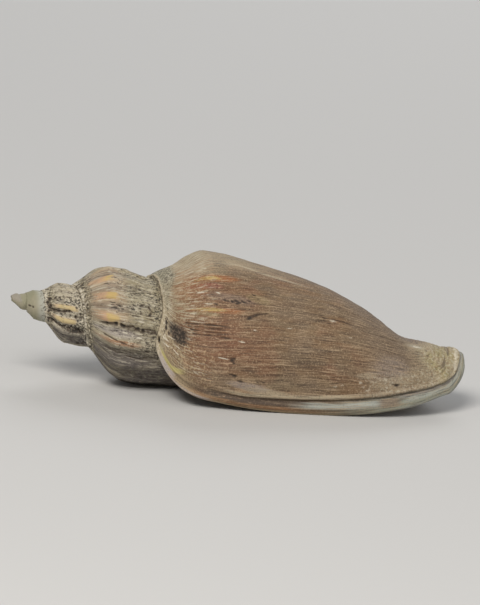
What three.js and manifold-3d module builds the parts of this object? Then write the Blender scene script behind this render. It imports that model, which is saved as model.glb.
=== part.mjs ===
// Fossil volute snail: a spindle-shaped shell lying on its opening. It has a ribbed spire, one large
// smooth last whorl with a thin flared lip, and a folded pillar that twists down to the open canal.
// Millimetres, +Z up. The shell's axis runs along X, with the apex at -X and the canal at +X.
import * as THREE from 'three';
import { mergeVertices } from 'three/addons/utils/BufferGeometryUtils.js';
import Module from 'manifold-3d';

// Growth, measured along the axis from the apex and out from the axis. Time is counted in turns
// before the lip. The suture is where a whorl joins the one before, and the shoulder is its corner.
// Columns: turns, suture along, suture out, shoulder along, shoulder out, front tip along.
const GROWTH_STAGES = [
  [-4.40, 0.15, 0.75, 1.0, 1.4, 2.4],
  [-3.86, 2.1, 1.45, 3.25, 2.25, 5.8],
  [-3.36, 3.8, 2.15, 5.5, 3.15, 11.0],
  [-2.86, 5.0, 2.7, 7.15, 4.25, 17.3],
  [-2.36, 7.7, 3.4, 11.25, 5.75, 27.5],
  [-1.86, 10.5, 4.35, 15.95, 8.2, 39.3],
  [-1.36, 15.7, 6.3, 23.1, 12.15, 55.0],
  [-0.86, 23.1, 8.9, 32.5, 15.2, 68.6],
  [-0.36, 35.2, 12.5, 46.9, 21.6, 88.6],
  [-0.21, 37.6, 13.5, 50.3, 23.5, 101.1],
  [-0.11, 39.0, 14.4, 52.4, 24.8, 111.1],
  [0.00, 38.6, 15.1, 54.5, 25.9, 119.7],
];

// The edge of the opening, from the shoulder to the tip of the canal and back to the pillar.
// Columns: share of the way to the tip, share of the shoulder's radius, sweep about the axis.
const EDGE_ROWS = [
  [0.00, 1.00, 0],
  [0.15, 1.005, 0],
  [0.30, 0.97, 0],
  [0.45, 0.935, -2],
  [0.58, 0.90, -5],
  [0.70, 0.845, -9.5],
  [0.80, 0.765, -14],
  [0.87, 0.685, -19],
  [0.93, 0.595, -25],
  [0.97, 0.545, -30],
  [0.995, 0.475, -44],
  [1.00, 0.40, -66],
  [0.99, 0.345, -92],
  [0.97, 0.305, -118],
  [0.94, 0.275, -143],
  [0.90, 0.26, -165],
];
const TIP_ROW = 12;
const LAST_ROW = 16;

const SUTURE_SWEEP = -22;
const SWEEP_FROM = -0.42;
const SUTURE_HOOK = 5.2;
const RAMP_BULGE = 0.62;
const RAMP_HOLLOW = 0.2;
const LIP_RAMP_BULGE = 0.53;
const EARLY_RAMP_BULGE = -0.22;
const EARLY_SIDE_BULGE = 0.1;
const EARLY_FROM = -2.5;
const EARLY_UNTIL = -1.5;
const LIP_FLARE = 0.25;
const LIP_FLARE_FROM = -0.07;

// Near its end the canal has a waist, then a raised rim at the back and a bevelled front corner.
const CANAL_WAIST = { height: -1.8, row: 10.2, rows: 1.9, turn: -0.185, turns: 0.055 };
const CANAL_RIM = { height: 1.9, row: 12.4, rows: 0.9, from: -0.085, to: -0.012 };
const CANAL_CORNER = { height: -1.6, row: 10.8, rows: 1.1, from: -0.05, to: 0 };

// Before the last half turn the whorl's front end is slimmer, because it only wraps the pillar.
const YOUNG_FRONT_SLIM = 0.28;
const YOUNG_SWEEP_LESS = 0.4;
const YOUNG_UNTIL = -0.75;
const FRONT_GROWN_FROM = -0.35;

const RIBS_PER_TURN = 14.3;
const RIBS_CROWDING = 0.4335;
const RIBS_COUNTED_FROM = -1.15;
const FIRST_RIB = 0.55;
const RIB_HEIGHT = 0.075;
const RIB_START = -2.7;
const RIB_FULL = -2.3;
const RIB_FADE = -1.0;
const RIB_END = -0.45;
const RIB_ROWS = [0.1, 0.8, 1.6, 4.5];
const RIB_SHARPNESS = 1.4;

// The spire is made of stretches of about half a turn, each of which fills its own side of the axis.
const SEGMENT_STARTS = [-4.4, -3.81, -3.31, -2.81, -2.31, -1.81, -1.31];
const SEGMENT_OVERLAP = 0.05;
const SMOOTH_STEPS_PER_TURN = 26;
const RIBBED_STEPS_PER_TURN = 54;
const OPEN_STEPS_PER_TURN = 36;

const WALL = 1.4;
const FLANGE = 2.2;
const AXIS_RADIUS = 0.3;
const SOLID_UNTIL = -0.72;
const SHEET_FROM = -0.76;
const SEAM = 0.05;

// The pillar, as along the axis and out from it.
const PILLAR_PROFILE = [
  [0.05, 0.25],
  [0.3, 0.5],
  [0.8, 0.8],
  [2.0, 1.2],
  [8.0, 2.0],
  [30.0, 4.0],
  [60.0, 5.4],
  [82.0, 6.0],
  [95.0, 5.5],
  [103.0, 4.5],
  [108.0, 3.4],
  [111.5, 2.0],
  [113.0, 0.4],
];
const PILLAR_AROUND = 22;
const PILLAR_STEPS = 46;
const PILLAR_DRIFT = 4.0;
const PILLAR_DRIFT_FROM = 88;
const PILLAR_DRIFT_TO = 114;
const FASCIOLE_DEGREES_PER_MM = 4.45;
const FASCIOLE_DEGREES_AT_END = -185;
const FOLD_COUNT = 3;
const FOLD_HEIGHT = 1.1;
const FOLD_PITCH = 2.15;
const FOLD_GAP = 1.07;
const FOLD_FIRST = 70.2;
const FOLD_WIDTH = 0.035;
const FOLDS_SHOWN = [45, 60, 98, 108];

const GROUND_SIZE = 240;
const REST_ROLL = 117.2;
const REST_PITCH = 7.4;
const WORN_DEPTH = 0.3;

const smoothStep = (from, to, x) => THREE.MathUtils.smoothstep(x, from, to);

// A cubic curve through the rows, for a value x of their first column.
function curveThrough(rows, x) {
  const last = rows.length - 1;
  const at = THREE.MathUtils.clamp(x, rows[0][0], rows[last][0]);
  let i = 0;
  while (i < last - 1 && rows[i + 1][0] <= at) i += 1;
  const before = rows[Math.max(i - 1, 0)];
  const start = rows[i];
  const end = rows[i + 1];
  const after = rows[Math.min(i + 2, last)];
  const span = end[0] - start[0];
  const q = (at - start[0]) / span;
  return start.slice(1).map((_, k) => {
    const c = k + 1;
    const slopeIn = ((end[c] - before[c]) / (end[0] - before[0])) * span;
    const slopeOut = ((after[c] - start[c]) / (after[0] - start[0])) * span;
    return (2 * q ** 3 - 3 * q ** 2 + 1) * start[c] + (q ** 3 - 2 * q ** 2 + q) * slopeIn
      + (-2 * q ** 3 + 3 * q ** 2) * end[c] + (q ** 3 - q ** 2) * slopeOut;
  });
}

const LOG_STAGES = GROWTH_STAGES.map(([turn, ...sizes]) => [turn, ...sizes.map(Math.log)]);
const NUMBERED_EDGE = EDGE_ROWS.map((row, i) => [i, ...row]);

function place(along, out, degrees) {
  const angle = THREE.MathUtils.degToRad(degrees);
  return new THREE.Vector3(along, -out * Math.sin(angle), out * Math.cos(angle));
}

// Rib height as a share of the shoulder's radius: strongest on the shoulder, gone at both sutures.
function ribs(turn, row) {
  const strength = smoothStep(RIB_START, RIB_FULL, turn) * (1 - smoothStep(RIB_FADE, RIB_END, turn));
  const [start, full, fade, end] = RIB_ROWS;
  const across = smoothStep(start, full, row) * (1 - smoothStep(fade, end, row));
  const since = turn - RIBS_COUNTED_FROM;
  const count = RIBS_PER_TURN * since + RIBS_CROWDING * since ** 2 - FIRST_RIB;
  const wave = (0.5 + 0.5 * Math.cos(2 * Math.PI * count)) ** RIB_SHARPNESS;
  return RIB_HEIGHT * strength * across * wave;
}

const bell = (x) => Math.exp(-(x ** 2));

// How far the end of the canal stands out from its plain growth.
function canalEnd(turn, row) {
  const waist = CANAL_WAIST.height * bell((row - CANAL_WAIST.row) / CANAL_WAIST.rows)
    * bell((turn - CANAL_WAIST.turn) / CANAL_WAIST.turns);
  const [rim, corner] = [CANAL_RIM, CANAL_CORNER].map(({ height, row: middle, rows, from, to }) => (
    height * bell((row - middle) / rows) * smoothStep(from, to, turn)));
  return waist + rim + corner;
}

// The outer surface: row 0 is the suture, row 1 the shoulder, row 16 the edge on the pillar.
function surface(turn, row) {
  const sizes = curveThrough(LOG_STAGES, turn).map(Math.exp);
  const [sutureAlong, sutureOut, shoulderAlong, shoulderOut, tip] = sizes;
  const late = smoothStep(SWEEP_FROM, 0, turn);
  const early = 1 - smoothStep(EARLY_FROM, EARLY_UNTIL, turn);
  let along;
  let out;
  let sweep;
  if (row < 1) {
    along = THREE.MathUtils.lerp(sutureAlong, shoulderAlong, row);
    const hollow = RAMP_HOLLOW * smoothStep(-0.8, SWEEP_FROM, turn);
    const grownBulge = RAMP_BULGE - hollow + LIP_RAMP_BULGE * late;
    const bulge = THREE.MathUtils.lerp(grownBulge, EARLY_RAMP_BULGE, early);
    const rise = bulge * Math.sin((row * Math.PI) / 2) + (1 - bulge) * row;
    out = THREE.MathUtils.lerp(sutureOut, shoulderOut, rise);
    sweep = SUTURE_SWEEP * late * (1 - row) ** SUTURE_HOOK;
  } else {
    const [toTip, ofShoulder, swept] = curveThrough(NUMBERED_EDGE, row - 1);
    along = THREE.MathUtils.lerp(shoulderAlong, tip, toTip);
    const young = 1 - smoothStep(YOUNG_UNTIL, FRONT_GROWN_FROM, turn);
    out = shoulderOut * ofShoulder * (1 - YOUNG_FRONT_SLIM * young * smoothStep(8, TIP_ROW, row));
    out *= 1 + EARLY_SIDE_BULGE * early * smoothStep(1, 3.5, row);
    sweep = swept * (1 - YOUNG_SWEEP_LESS * young * smoothStep(TIP_ROW, LAST_ROW, row));
  }
  out += shoulderOut * ribs(turn, row);
  const atLip = smoothStep(LIP_FLARE_FROM, 0, turn);
  out += LIP_FLARE * atLip * smoothStep(0.2, 1, row) * (1 - smoothStep(7, 9, row));
  out += canalEnd(turn, row);
  return place(along, out, 360 * turn + sweep);
}

function outward(turn, row) {
  const step = 0.004;
  const alongTurn = surface(Math.min(turn + step, 0), row).sub(surface(turn - step, row));
  const alongRow = surface(turn, Math.min(row + 0.1, LAST_ROW)).sub(surface(turn, Math.max(row - 0.1, 0)));
  return alongTurn.cross(alongRow).normalize();
}

// A closed geometry becomes a solid that can be joined and cut.
function solidOf(wasm, geometry) {
  const bare = geometry.clone();
  bare.deleteAttribute('normal');
  bare.deleteAttribute('uv');
  const merged = mergeVertices(bare);
  return new wasm.Manifold(new wasm.Mesh({
    numProp: 3,
    vertProperties: new Float32Array(merged.attributes.position.array),
    triVerts: new Uint32Array(merged.index.array),
  }));
}

// A closed solid from rings of equally many points. A cap is the list of triangles that ends it.
function solidFromRings(wasm, rings, capTriangles) {
  const count = rings[0].length;
  const vertices = rings.flat().flatMap((p) => [p.x, p.y, p.z]);
  const triangles = [];
  for (let i = 0; i < rings.length - 1; i += 1) {
    for (let j = 0; j < count; j += 1) {
      const a = i * count + j;
      const b = i * count + ((j + 1) % count);
      const c = a + count;
      const d = b + count;
      triangles.push(a, b, d, a, d, c);
    }
  }
  const end = (rings.length - 1) * count;
  for (const [a, b, c] of capTriangles) {
    triangles.push(a, c, b);
    triangles.push(end + a, end + b, end + c);
  }
  return new wasm.Manifold(new wasm.Mesh({
    numProp: 3,
    vertProperties: new Float32Array(vertices),
    triVerts: new Uint32Array(triangles),
  }));
}

// A ring's two halves run side by side, so a ladder of triangles between them closes it.
function ladder(half) {
  const triangles = [];
  for (let j = 0; j < half - 1; j += 1) {
    const k = 2 * half - 1 - j;
    triangles.push([j, j + 1, k - 1], [j, k - 1, k]);
  }
  return triangles;
}

function turnsBetween(from, to, perTurn) {
  const steps = Math.max(2, Math.round((to - from) * perTurn));
  return Array.from({ length: steps + 1 }, (_, i) => from + ((to - from) * i) / steps);
}

// A whorl that later growth has filled: its outside, closed down to the axis.
function filledWhorl(wasm, from, to, perTurn) {
  const rows = [0, 0.25, 0.5, 0.75, ...Array.from({ length: TIP_ROW }, (_, i) => i + 1)];
  const rings = turnsBetween(from, to, perTurn).map((turn) => {
    const inset = SEAM * (1 - smoothStep(from, from + 0.08, turn));
    const outer = rows.map((row) => {
      const point = surface(turn, row);
      const out = Math.hypot(point.y, point.z);
      return point.multiply(new THREE.Vector3(1, 1 - inset / out, 1 - inset / out));
    });
    const inner = outer.map((point) => {
      const out = Math.hypot(point.y, point.z);
      return point.clone().multiply(new THREE.Vector3(1, AXIS_RADIUS / out, AXIS_RADIUS / out));
    });
    return [...inner, ...outer.reverse()];
  });
  return solidFromRings(wasm, rings, ladder(rows.length));
}

// The last whorl is a wall round the hollow. Its two long edges end inside the whorl and the pillar.
function openWhorl(wasm, from, perTurn) {
  const rows = [0, 0.25, 0.5, 0.75, ...Array.from({ length: LAST_ROW }, (_, i) => i + 1)];
  const rings = turnsBetween(from, 0, perTurn).map((turn) => {
    const inset = SEAM * (1 - smoothStep(from, from + 0.08, turn));
    const outer = rows.map((row) => surface(turn, row).addScaledVector(outward(turn, row), -inset));
    const inner = rows.map((row) => surface(turn, row).addScaledVector(outward(turn, row), -WALL));
    const sink = (point, depth) => {
      const out = Math.hypot(point.y, point.z);
      return point.clone().multiply(new THREE.Vector3(1, 1 - depth / out, 1 - depth / out));
    };
    outer.unshift(sink(outer[0], FLANGE));
    inner.unshift(sink(inner[0], FLANGE));
    outer.push(sink(outer[outer.length - 1], FLANGE));
    inner.push(sink(inner[inner.length - 1], FLANGE));
    return [...inner, ...outer.reverse()];
  });
  return solidFromRings(wasm, rings, ladder(rows.length + 2));
}

// The pillar that the whorls grow round, with slanting folds where it shows in the opening.
function pillar(wasm) {
  const [firstAlong] = PILLAR_PROFILE[0];
  const [lastAlong] = PILLAR_PROFILE[PILLAR_PROFILE.length - 1];
  const [start, full, fade, end] = FOLDS_SHOWN;
  const rings = [];
  for (let i = 0; i <= PILLAR_STEPS; i += 1) {
    const share = (i / PILLAR_STEPS) ** 1.5;
    const along = THREE.MathUtils.lerp(firstAlong, lastAlong, share);
    const [radius] = curveThrough(PILLAR_PROFILE, along);
    const drift = PILLAR_DRIFT * smoothStep(PILLAR_DRIFT_FROM, PILLAR_DRIFT_TO, along);
    const driftDegrees = FASCIOLE_DEGREES_AT_END - FASCIOLE_DEGREES_PER_MM * (PILLAR_DRIFT_TO - along);
    const centre = place(0, drift, driftDegrees);
    const shown = smoothStep(start, full, along) * (1 - smoothStep(fade, end, along));
    const ring = [];
    for (let j = 0; j < PILLAR_AROUND; j += 1) {
      const turn = j / PILLAR_AROUND;
      let height = 0;
      for (let fold = 0; fold < FOLD_COUNT; fold += 1) {
        const first = FOLD_FIRST * FOLD_GAP ** fold;
        const phase = Math.log(along / first) / Math.log(FOLD_PITCH) - turn;
        const away = phase - Math.round(phase);
        height += Math.exp(-((away / FOLD_WIDTH) ** 2));
      }
      ring.push(place(along, radius + FOLD_HEIGHT * shown * height, 360 * turn).add(centre));
    }
    rings.push(ring);
  }
  const cap = Array.from({ length: PILLAR_AROUND - 2 }, (_, j) => [0, j + 1, j + 2]);
  return solidFromRings(wasm, rings, cap);
}

// A solid becomes a geometry again, so that three.js can turn and measure it.
function geometryOf(solid) {
  const { vertProperties, triVerts } = solid.getMesh();
  const geometry = new THREE.BufferGeometry();
  geometry.setAttribute('position', new THREE.BufferAttribute(new Float32Array(vertProperties), 3));
  geometry.setIndex(new THREE.BufferAttribute(new Uint32Array(triVerts), 1));
  return geometry;
}

const wasm = await Module();
wasm.setup();

let shell = pillar(wasm);
SEGMENT_STARTS.forEach((from, i) => {
  const to = SEGMENT_STARTS[i + 1] ?? SOLID_UNTIL;
  const perTurn = to < RIB_START ? SMOOTH_STEPS_PER_TURN : RIBBED_STEPS_PER_TURN;
  shell = shell.add(filledWhorl(wasm, from, Math.min(to + SEGMENT_OVERLAP, SOLID_UNTIL), perTurn));
});
shell = shell.add(openWhorl(wasm, SHEET_FROM, OPEN_STEPS_PER_TURN));

// The shell lies on its opening. Where it touches the ground it is worn flat by a fraction of a
// millimetre, as a shell that has lain in one place is.
const rest = new THREE.Matrix4().makeRotationY(THREE.MathUtils.degToRad(REST_PITCH));
rest.multiply(new THREE.Matrix4().makeRotationX(THREE.MathUtils.degToRad(REST_ROLL)));
const resting = geometryOf(shell).applyMatrix4(rest);
resting.computeBoundingBox();
const ground = new THREE.BoxGeometry(GROUND_SIZE, GROUND_SIZE, GROUND_SIZE);
const groundTop = resting.boundingBox.min.z + WORN_DEPTH;
ground.translate(0, 0, groundTop - GROUND_SIZE / 2);
const worn = solidOf(wasm, resting).subtract(solidOf(wasm, ground));
const geometry = geometryOf(worn);
geometry.computeBoundingBox();
const middle = geometry.boundingBox.getCenter(new THREE.Vector3());

const fossil = new THREE.MeshStandardMaterial({ color: 0x9c8468, roughness: 0.75, metalness: 0 });
const mesh = new THREE.Mesh(geometry, fossil);
mesh.name = 'shell';
mesh.position.set(-middle.x, -middle.y, -groundTop);

const group = new THREE.Group();
group.add(mesh);
export default group;
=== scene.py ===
import math

import bmesh
import bpy
import numpy as np
from mathutils import Matrix, Vector


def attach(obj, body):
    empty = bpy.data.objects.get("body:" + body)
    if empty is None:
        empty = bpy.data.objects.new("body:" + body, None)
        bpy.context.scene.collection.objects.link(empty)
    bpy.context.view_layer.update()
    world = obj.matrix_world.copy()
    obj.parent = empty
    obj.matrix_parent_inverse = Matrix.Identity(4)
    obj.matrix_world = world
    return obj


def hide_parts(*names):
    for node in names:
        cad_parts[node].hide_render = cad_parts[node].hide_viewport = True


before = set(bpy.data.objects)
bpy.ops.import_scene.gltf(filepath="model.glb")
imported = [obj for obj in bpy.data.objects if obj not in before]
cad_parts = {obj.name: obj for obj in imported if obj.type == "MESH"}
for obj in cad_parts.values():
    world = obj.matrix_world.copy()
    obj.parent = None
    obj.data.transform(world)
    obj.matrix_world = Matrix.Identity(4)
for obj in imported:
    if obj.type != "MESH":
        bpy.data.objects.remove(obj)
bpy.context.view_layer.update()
MM = 0.001

# The camera looks at the side of the shell a little from above, through a long lens. The shell
# lies across the whole picture, a little below the middle, as in the photograph.
VIEW_AZIMUTH = math.radians(-3.42)
VIEW_ELEVATION = math.radians(13.30)
VIEW_ROLL = math.radians(4.36)
VIEW_DISTANCE = 2.6
VIEW_HEIGHT = 0.15851
SENSOR_WIDTH = 36
APEX = Vector((-0.05990, 0.00324, 0.02088))
CENTRE_FROM_APEX = Vector((0.06018, -0.00118, 0))

camera_data = bpy.data.cameras.new("camera")
camera_data.sensor_width = SENSOR_WIDTH
camera_data.lens = SENSOR_WIDTH * VIEW_DISTANCE / VIEW_HEIGHT
camera_data.clip_end = 20
camera = bpy.data.objects.new("camera", camera_data)
bpy.context.scene.collection.objects.link(camera)
bpy.context.scene.camera = camera
towards_camera = Vector((
    math.sin(VIEW_AZIMUTH) * math.cos(VIEW_ELEVATION),
    -math.cos(VIEW_AZIMUTH) * math.cos(VIEW_ELEVATION),
    math.sin(VIEW_ELEVATION),
))
turned = (-towards_camera).to_track_quat("-Z", "Y").to_matrix() @ Matrix.Rotation(VIEW_ROLL, 3, "Z")
picture_centre = APEX + turned @ CENTRE_FROM_APEX
picture_centre += towards_camera * (-picture_centre).dot(towards_camera)
camera.matrix_world = Matrix.LocRotScale(
    picture_centre + towards_camera * VIEW_DISTANCE, turned.to_quaternion(), None)

# The floor is a plain pale sheet, so wide that no horizon shows.
FLOOR_SIZE = 6.0
FLOOR_COLOUR = (0.60, 0.59, 0.57, 1)

bm = bmesh.new()
bmesh.ops.create_grid(bm, x_segments=8, y_segments=8, size=FLOOR_SIZE / 2)
floor_mesh = bpy.data.meshes.new("floor")
bm.to_mesh(floor_mesh)
bm.free()
floor = bpy.data.objects.new("floor", floor_mesh)
bpy.context.scene.collection.objects.link(floor)
floor_paint = bpy.data.materials.new("floor_paper")
floor_paint.use_nodes = True
floor_shader = floor_paint.node_tree.nodes["Principled BSDF"]
floor_shader.inputs["Base Color"].default_value = FLOOR_COLOUR
floor_shader.inputs["Roughness"].default_value = 0.9
floor_mesh.materials.append(floor_paint)

# Soft studio light: a large lamp above and behind the camera, a weaker one from the left, and an
# even grey surround.
LAMPS = [
    # name, place, size, watts, colour
    ("key", (-0.35, -0.90, 1.00), 0.6, 15.0, (1.0, 0.97, 0.93)),
    ("fill", (0.9, -0.8, 0.6), 0.9, 2.5, (0.95, 0.97, 1.0)),
    ("rim", (0.2, 0.9, 0.7), 0.6, 4.0, (0.97, 0.98, 1.0)),
]
for name, place, size, watts, colour in LAMPS:
    lamp_data = bpy.data.lights.new(name, "AREA")
    lamp_data.size = size
    lamp_data.energy = watts
    lamp_data.color = colour
    lamp = bpy.data.objects.new(name, lamp_data)
    lamp.location = place
    lamp.rotation_mode = "QUATERNION"
    lamp.rotation_quaternion = (-Vector(place)).to_track_quat("-Z", "Y")
    bpy.context.scene.collection.objects.link(lamp)
SURROUND_COLOUR = (0.80, 0.82, 0.85, 1)
SURROUND_STRENGTH = 0.28
surround = bpy.data.worlds.new("surround")
surround.use_nodes = True
surround.node_tree.nodes["Background"].inputs["Color"].default_value = SURROUND_COLOUR
surround.node_tree.nodes["Background"].inputs["Strength"].default_value = SURROUND_STRENGTH
bpy.context.scene.world = surround
bpy.context.scene.view_settings.view_transform = "Standard"

# The shell grew as one coil, a thin wall of lime laid down at the lip. Time is counted in turns
# before the lip. Row 0 is the suture, row 1 the shoulder, 12 the tip, 16 the edge on the pillar.
# All sizes of the shell are in millimetres, along its axis from the apex and out from the axis.
GROWTH_STAGES = np.array([
    # turns, suture along, suture out, shoulder along, shoulder out, tip along
    (-4.4, 0.15, 0.75, 1.0, 1.4, 2.4),
    (-3.86, 2.1, 1.45, 3.25, 2.25, 5.8),
    (-3.36, 3.8, 2.15, 5.5, 3.15, 11.0),
    (-2.86, 5.0, 2.7, 7.15, 4.25, 17.3),
    (-2.36, 7.7, 3.4, 11.25, 5.75, 27.5),
    (-1.86, 10.5, 4.35, 15.95, 8.2, 39.3),
    (-1.36, 15.7, 6.3, 23.1, 12.15, 55.0),
    (-0.86, 23.1, 8.9, 32.5, 15.2, 68.6),
    (-0.36, 35.2, 12.5, 46.9, 21.6, 88.6),
    (-0.21, 37.6, 13.5, 50.3, 23.5, 101.1),
    (-0.11, 39.0, 14.4, 52.4, 24.8, 111.1),
    (0.0, 38.6, 15.1, 54.5, 25.9, 119.7),
])
LIP_OUTLINE = np.array([
    # row, share of the way to the tip, share of the shoulder's radius, sweep in degrees
    (1, 0.0, 1.0, 0), (2, 0.15, 1.005, 0), (3, 0.3, 0.97, 0), (4, 0.45, 0.935, -2),
    (5, 0.58, 0.9, -5), (6, 0.7, 0.845, -9.5), (7, 0.8, 0.765, -14), (8, 0.87, 0.685, -19),
    (9, 0.93, 0.595, -25), (10, 0.97, 0.545, -30), (11, 0.995, 0.475, -44), (12, 1.0, 0.4, -66),
    (13, 0.99, 0.345, -92), (14, 0.97, 0.305, -118), (15, 0.94, 0.275, -143), (16, 0.9, 0.26, -165),
])
# How fast the whorls widen, and the wall's own sizes. An open wall's two long edges reach inwards by
# the flange, and each stretch's start is sunk by the seam into the one before it.
GROWTH_RATE = 0.62
LIP_RADIUS = 25.9
MEAN_LIP_RADIUS = 20
WALL = 1.4
FLANGE = 2.2
AXIS_RADIUS = 0.3
SEAM = 0.05
# The ribs, whose height is a share of the shoulder's radius.
RIBS_COUNTED_FROM = -1.15
RIBS_PER_TURN = 14.3
RIBS_GAINED = 0.4335
FIRST_RIB = 0.55
RIB_HEIGHT = 0.075
# How round the ramp and the side are as the shell grows, and the hook, the lip and the canal's end.
RAMP_BULGE = 0.62
LAST_BULGE_LOSS = 0.2
LIP_BULGE_GAIN = 0.53
EARLY_RAMP_BULGE = -0.22
EARLY_SIDE_BULGE = 0.1
CANAL_SLIMMING = 0.28
HOOK_SWEEP = -22
HOOK_SHARPNESS = 5.2
PILLAR_UNTWIST = 0.4
LIP_FLARE = 0.25
WAIST_DEPTH = 1.8
CANAL_RIM_HEIGHT = 1.9
CORNER_BEVEL = 1.6


def smooth_step(start, end, x):
    """0 before start, 1 past end and smooth between them, whichever of the two is larger."""
    share = np.clip((x - start) / (end - start), 0, 1)
    return share * share * (3 - 2 * share)


def between(x, start, full, still_full, end):
    """0 at start, 1 from full to still_full, and 0 again at end."""
    return smooth_step(start, full, x) * (1 - smooth_step(still_full, end, x))


def curve_through(rows, x):
    """A cubic curve through the rows, for values x of their first column."""
    at, values = rows[:, 0], rows[:, 1:]
    x = np.clip(x, at[0], at[-1])
    i = np.clip(np.searchsorted(at, x, side="right") - 1, 0, len(at) - 2)
    before = np.maximum(i - 1, 0)
    after = np.minimum(i + 2, len(at) - 1)
    span = (at[i + 1] - at[i])[:, None]
    q = ((x - at[i]) / span[:, 0])[:, None]
    slope_in = (values[i + 1] - values[before]) / (at[i + 1] - at[before])[:, None] * span
    slope_out = (values[after] - values[i]) / (at[after] - at[i])[:, None] * span
    return (
        (2 * q**3 - 3 * q**2 + 1) * values[i] + (q**3 - 2 * q**2 + q) * slope_in
        + (3 * q**2 - 2 * q**3) * values[i + 1] + (q**3 - q**2) * slope_out
    ).T


LOG_STAGES = np.column_stack((GROWTH_STAGES[:, 0], np.log(GROWTH_STAGES[:, 1:])))


def rib_crest(turn, row):
    """0 between the ribs and 1 on a rib's crest, fading out across and along the whorl."""
    strength = between(turn, -2.7, -2.3, -1.0, -0.45)
    across = between(row, 0.1, 0.8, 1.6, 4.5)
    since = turn - RIBS_COUNTED_FROM
    count = RIBS_PER_TURN * since + RIBS_GAINED * since**2 - FIRST_RIB
    wave = (0.5 + 0.5 * np.cos(2 * np.pi * count)) ** 1.4
    return strength * across * wave


def bell(x):
    """1 at 0 and nearly 0 beyond 2, to both sides."""
    return np.exp(-x * x)


def canal_end(turn, row):
    """How far the waist, the raised rim and the bevelled corner near the canal's end stand out."""
    waist = -WAIST_DEPTH * bell((row - 10.2) / 1.9) * bell((turn + 0.185) / 0.055)
    rim = CANAL_RIM_HEIGHT * bell((row - 12.4) / 0.9) * smooth_step(-0.085, -0.012, turn)
    corner = -CORNER_BEVEL * bell((row - 10.8) / 1.1) * smooth_step(-0.05, 0, turn)
    return waist + rim + corner


def growth_surface(turn, row):
    """Points of the shell's outer surface, as along the axis and two across it."""
    sizes = np.exp(curve_through(LOG_STAGES, turn))
    suture_along, suture_out, shoulder_along, shoulder_out, tip = sizes
    late = smooth_step(-0.42, 0, turn)
    share = np.clip(row, 0, 1)
    early = 1 - smooth_step(-2.5, -1.5, turn)
    bulge = RAMP_BULGE - LAST_BULGE_LOSS * smooth_step(-0.8, -0.42, turn) + LIP_BULGE_GAIN * late
    bulge = bulge * (1 - early) + EARLY_RAMP_BULGE * early
    arched = bulge * np.sin(share * np.pi / 2) + (1 - bulge) * share
    to_tip, of_shoulder, swept = curve_through(LIP_OUTLINE, np.maximum(row, 1))
    young = 1 - smooth_step(-0.75, -0.35, turn)
    slim = 1 - CANAL_SLIMMING * young * smooth_step(8, 12, row)
    slim = slim * (1 + EARLY_SIDE_BULGE * early * smooth_step(1, 3.5, row))
    on_ramp = row < 1
    along = np.where(
        on_ramp,
        suture_along + (shoulder_along - suture_along) * share,
        shoulder_along + (tip - shoulder_along) * to_tip,
    )
    out = np.where(
        on_ramp,
        suture_out + (shoulder_out - suture_out) * arched,
        shoulder_out * of_shoulder * slim,
    )
    sweep = np.where(
        on_ramp,
        HOOK_SWEEP * late * (1 - share) ** HOOK_SHARPNESS,
        swept * (1 - PILLAR_UNTWIST * young * smooth_step(12, 16, row)),
    )
    out = out + shoulder_out * RIB_HEIGHT * rib_crest(turn, row)
    flare = smooth_step(-0.07, 0, turn) * between(row, 0.2, 1, 7, 9)
    out = out + LIP_FLARE * flare + canal_end(turn, row)
    angle = np.radians(360 * turn + sweep)
    return np.column_stack((along, -out * np.sin(angle), out * np.cos(angle)))


def growth_normal(turn, row):
    """The way that the shell's outer surface faces."""
    step = 0.002
    along_turn = growth_surface(np.minimum(turn + step, 0), row) - growth_surface(turn - step, row)
    along_row = (growth_surface(turn, np.clip(row + 0.05, 0, 16))
                 - growth_surface(turn, np.clip(row - 0.05, 0, 16)))
    across = np.cross(along_turn, along_row)
    return across / np.linalg.norm(across, axis=1)[:, None]


def sunk(points, depth):
    """Points moved straight in towards the axis."""
    out = np.hypot(points[:, 1], points[:, 2])
    shrink = 1 - depth / out
    return points * np.column_stack((np.ones_like(out), shrink, shrink))


# The wall is cast flat first: a closed slab whose top is the shell's outside and whose bottom is its
# inside. Its length runs along growth and its width across the whorl. Then it is wound up.
def flat_wall(columns, rows, finer):
    """A closed slab from 0 to 1 each way. Its top, at z 1, is cut finer than its bottom."""
    wall = bmesh.new()
    bmesh.ops.create_grid(wall, x_segments=columns, y_segments=rows, size=0.5)
    bmesh.ops.translate(wall, verts=wall.verts, vec=(0.5, 0.5, 0))
    lifted = bmesh.ops.extrude_face_region(wall, geom=wall.faces[:], use_keep_orig=True)["geom"]
    top = [v for v in lifted if isinstance(v, bmesh.types.BMVert)]
    bmesh.ops.translate(wall, verts=top, vec=(0, 0, 1))
    bmesh.ops.recalc_face_normals(wall, faces=wall.faces)
    if finer > 1:
        top_edges = [e for e in wall.edges if min(v.co.z for v in e.verts) > 0.5]
        bmesh.ops.subdivide_edges(wall, edges=top_edges, cuts=finer - 1, use_grid_fill=True)
    return wall


def ripple(x, y, seed):
    """Smooth noise between -1 and 1, with about one wave for each unit of x and y."""
    table = np.random.default_rng(seed).uniform(-1, 1, (128, 128))
    i, j = np.floor(x).astype(int), np.floor(y).astype(int)
    u, v = x - i, y - j
    u, v = u * u * (3 - 2 * u), v * v * (3 - 2 * v)
    near = table[i % 128, j % 128] * (1 - u) + table[(i + 1) % 128, j % 128] * u
    far = table[i % 128, (j + 1) % 128] * (1 - u) + table[(i + 1) % 128, (j + 1) % 128] * u
    return near * (1 - v) + far * v


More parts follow.
